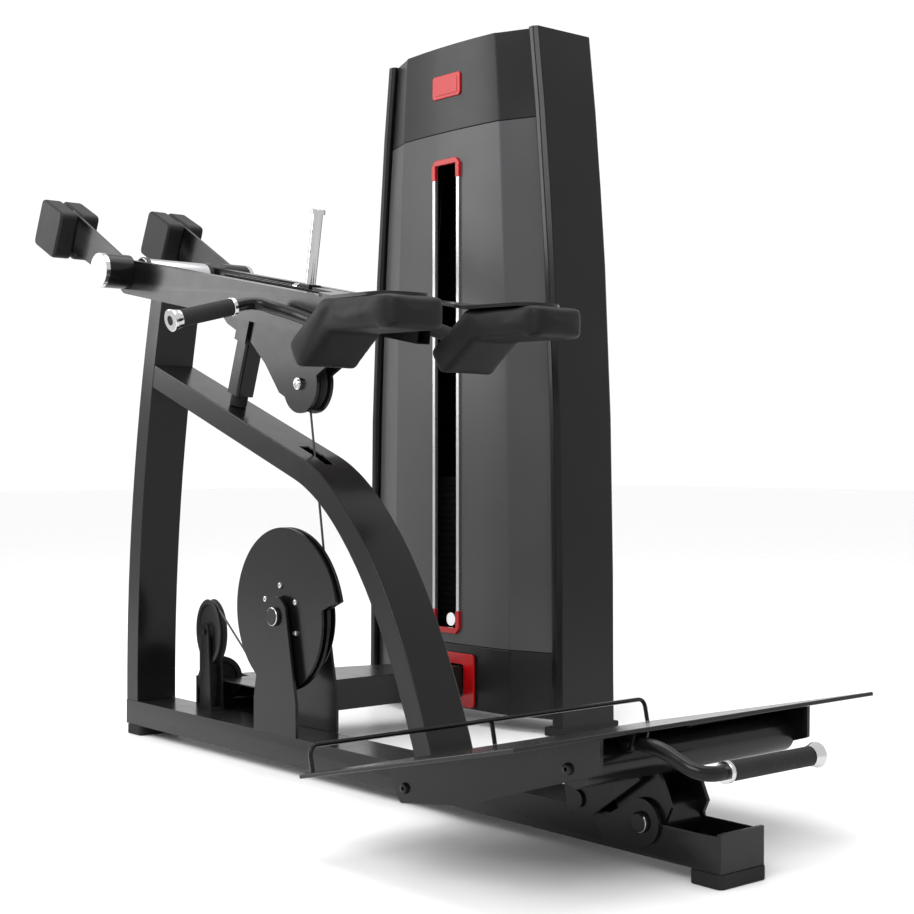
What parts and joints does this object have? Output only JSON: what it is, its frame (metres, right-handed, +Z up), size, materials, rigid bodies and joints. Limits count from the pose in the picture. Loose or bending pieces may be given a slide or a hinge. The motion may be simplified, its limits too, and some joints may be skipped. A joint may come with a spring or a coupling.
{
  "type": "hack squat machine",
  "caption": "Pin-loaded squat machine: a cable-linked swing arm with shoulder pads lifts a shrouded weight stack above a tilting foot platform.",
  "frame": {"origin": "middle of the rear foot's underside, on the floor and on the main beam's centreline", "axes": "+X along the beam towards the foot platform, +Y towards the weight tower, +Z up"},
  "size_m": [2.4758, 1.513, 1.975],
  "materials": {
    "black_paint": "gloss",
    "panel_grey": "satin",
    "header_black": "satin",
    "chrome": "polished",
    "cast_iron": "satin",
    "red_plastic": "gloss",
    "pad_vinyl": "satin",
    "rubber": "matte",
    "cable": "satin",
    "silver_trim": "satin",
    "grip_rubber": "matte"
  },
  "bodies": {
    "frame": {"rear_foot": "rubber", "front_foot": "rubber", "base_beam": "black_paint", "rear_upright": "black_paint", "main_strut": "black_paint", "pivot_tube": "chrome", "pivot_axle": "chrome", "cam_bracket_near": "black_paint", "cam_bracket_far": "black_paint", "cam_axle": "chrome", "guide_bracket": "black_paint", "turn_bracket": "black_paint", "cable_duct": "black_paint", "shroud_panel": "panel_grey", "shroud_header": "header_black", "shroud_lower": "header_black", "slot_frame": "chrome", "duct_frame": "red_plastic", "column_left": "black_paint", "column_right": "black_paint", "back_cover": "black_paint", "tower_base": "black_paint", "guide_rod_left": "chrome", "guide_rod_right": "chrome", "platform_axle": "chrome", "weight_cable": "cable", "arm_cable": "cable"},
    "arm": {"arm_side_near": "black_paint", "arm_side_far": "black_paint", "counterweight_near_outer": "cast_iron", "counterweight_near_inner": "cast_iron", "counterweight_far_inner": "cast_iron", "counterweight_far_outer": "cast_iron", "lever_frame": "black_paint", "anchor_bolt": "chrome", "stop_post": "black_paint", "stop_bumper": "rubber", "shoulder_pad_near": "pad_vinyl", "shoulder_pad_far": "pad_vinyl", "pad_plate_near": "black_paint", "pad_plate_far": "black_paint", "handle_near": "black_paint", "handle_far": "black_paint"},
    "adjuster": {"adjuster_bar": "chrome"},
    "adjuster_lock": {"adjuster_pin": "chrome"},
    "anchor_pulley": {"anchor_wheel": "cast_iron"},
    "cam": {"cam_disc": "black_paint"},
    "guide_pulley": {"guide_wheel": "cast_iron"},
    "turn_pulley": {"turn_wheel": "cast_iron"},
    "bottom_pulley": {"bottom_wheel": "cast_iron"},
    "top_pulley": {"top_wheel": "cast_iron"},
    "stack": {"weight_stack": "cast_iron", "head_plate": "cast_iron"},
    "selector": {"selector_pin": "chrome"},
    "platform": {"foot_plate": "black_paint", "platform_frame": "black_paint", "stop_rod": "black_paint", "platform_carrier": "black_paint", "release_bracket": "black_paint"},
    "release": {"release_handle": "black_paint"}
  },
  "joints": [
    {"name": "arm_lift", "type": "hinge", "parent": "frame", "child": "arm", "pos_m": [0.115, 0, 1.267], "axis": [0, -1, 0], "range_deg": [0, 32], "deforming": ["arm_cable", "weight_cable"]},
    {"name": "cam_spin", "type": "hinge", "parent": "frame", "child": "cam", "pos_m": [0.7, 0, 0.38], "axis": [0, -1, 0], "range_deg": [0, 152]},
    {"name": "stack_lift", "type": "slide", "parent": "frame", "child": "stack", "axis": [0, 0, 1], "range_m": [0, 0.515]},
    {"name": "guide_wheel_spin", "type": "hinge", "parent": "frame", "child": "guide_pulley", "pos_m": [0.256, 0.031, 0.3], "axis": [-0.1702, -0.9854, 0], "range_deg": [-365, 0]},
    {"name": "turn_wheel_spin", "type": "hinge", "parent": "frame", "child": "turn_pulley", "pos_m": [0.18742, 0.10004, 0.16], "axis": [0.9785, -0.2062, 0], "range_deg": [-525, 0]},
    {"name": "bottom_wheel_spin", "type": "hinge", "parent": "frame", "child": "bottom_pulley", "pos_m": [0.36789, 0.94024, 0.1381], "axis": [0.9785, -0.2062, 0], "range_deg": [-855, 0]},
    {"name": "top_wheel_spin", "type": "hinge", "parent": "frame", "child": "top_pulley", "pos_m": [0.375, 0.9395, 1.85], "axis": [1, 0, 0], "range_deg": [-855, 0]},
    {"name": "anchor_wheel_spin", "type": "hinge", "parent": "arm", "child": "anchor_pulley", "pos_m": [0.75263, 0, 0.94847], "axis": [0, -1, 0], "range_deg": [-41, 0]},
    {"name": "selector_pull", "type": "slide", "parent": "stack", "child": "selector", "axis": [0, -1, 0], "range_m": [0, 0.14]},
    {"name": "adjuster_slide", "type": "slide", "parent": "arm", "child": "adjuster", "axis": [0.1822, 0, 0.9833], "range_m": [0, 0.08]},
    {"name": "adjuster_lock_pull", "type": "slide", "parent": "arm", "child": "adjuster_lock", "axis": [-0.9833, 0, 0.1822], "range_m": [0, 0.012], "stiffness_N_per_m": 400},
    {"name": "platform_tilt", "type": "hinge", "parent": "frame", "child": "platform", "pos_m": [1.926, 0, 0.09], "axis": [0, 1, 0], "range_deg": [0, 12.5]},
    {"name": "release_lift", "type": "hinge", "parent": "platform", "child": "release", "pos_m": [2.016, -0.18, 0.263], "axis": [0, -1, 0], "range_deg": [0, 10]}
  ],
  "couplings": [
    {"joint": "cam_spin", "follows": "arm_lift", "ratio": 4.734},
    {"joint": "stack_lift", "follows": "arm_lift", "m_per_rad": 0.9204},
    {"joint": "guide_wheel_spin", "follows": "arm_lift", "ratio": -11.307},
    {"joint": "turn_wheel_spin", "follows": "arm_lift", "ratio": -16.319},
    {"joint": "bottom_wheel_spin", "follows": "arm_lift", "ratio": -26.678},
    {"joint": "top_wheel_spin", "follows": "arm_lift", "ratio": -26.678},
    {"joint": "anchor_wheel_spin", "follows": "arm_lift", "ratio": -1.254}
  ]
}
